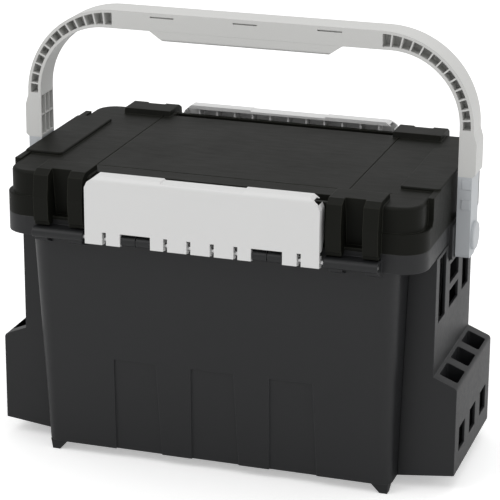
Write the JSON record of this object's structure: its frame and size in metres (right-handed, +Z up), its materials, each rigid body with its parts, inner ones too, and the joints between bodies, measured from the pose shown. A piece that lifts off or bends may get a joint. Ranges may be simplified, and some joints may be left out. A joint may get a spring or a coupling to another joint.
{
  "type": "fishing seat box",
  "caption": "Deep tackle box with a seat lid that unlatches from either long side, a swinging carrying handle and a slotted pocket rack on each end.",
  "frame": {"origin": "on the ground, under the centre of the closed box", "axes": "+X to the right along the long side, +Y from the front latch to the rear latch, +Z up"},
  "size_m": [0.54, 0.34, 0.503],
  "materials": {
    "black_plastic": "satin moulded",
    "light_grey_plastic": "satin moulded",
    "cool_grey_plastic": "satin moulded",
    "tray_plastic": "satin moulded",
    "steel": "bright drawn"
  },
  "bodies": {
    "bucket": {"bucket": "black_plastic", "right_side_rack": "black_plastic", "left_side_rack": "black_plastic", "front_hinge_pin": "steel", "rear_hinge_pin": "steel", "right_pivot_pin": "steel", "left_pivot_pin": "steel"},
    "lid": {"lid": "black_plastic"},
    "front_latch": {"front_latch": "light_grey_plastic"},
    "rear_latch": {"rear_latch": "light_grey_plastic"},
    "handle": {"handle_frame": "light_grey_plastic", "handle_grip": "light_grey_plastic", "right_handle_hub": "cool_grey_plastic", "left_handle_hub": "cool_grey_plastic", "right_hub_cap": "cool_grey_plastic", "left_hub_cap": "cool_grey_plastic"},
    "tray": {"lift_out_tray": "tray_plastic", "tray_dividers": "tray_plastic"}
  },
  "joints": [
    {"name": "lid_hinge", "type": "hinge", "parent": "bucket", "child": "lid", "pos_m": [0, 0.1635, 0.2815], "axis": [-1, 0, 0], "range_deg": [0, 22]},
    {"name": "rear_latch_hinge", "type": "hinge", "parent": "lid", "child": "rear_latch", "pos_m": [0, 0.1635, 0.2815], "axis": [-1, 0, 0], "range_deg": [0, 150]},
    {"name": "front_latch_hinge", "type": "hinge", "parent": "bucket", "child": "front_latch", "pos_m": [0, -0.1635, 0.2815], "axis": [1, 0, 0], "range_deg": [0, 150]},
    {"name": "handle_pivot", "type": "hinge", "parent": "bucket", "child": "handle", "pos_m": [0, 0, 0.275], "axis": [1, 0, 0], "range_deg": [-132, 132]},
    {"name": "tray_slide", "type": "slide", "parent": "bucket", "child": "tray", "axis": [1, 0, 0], "range_m": [0, 0.21]}
  ]
}
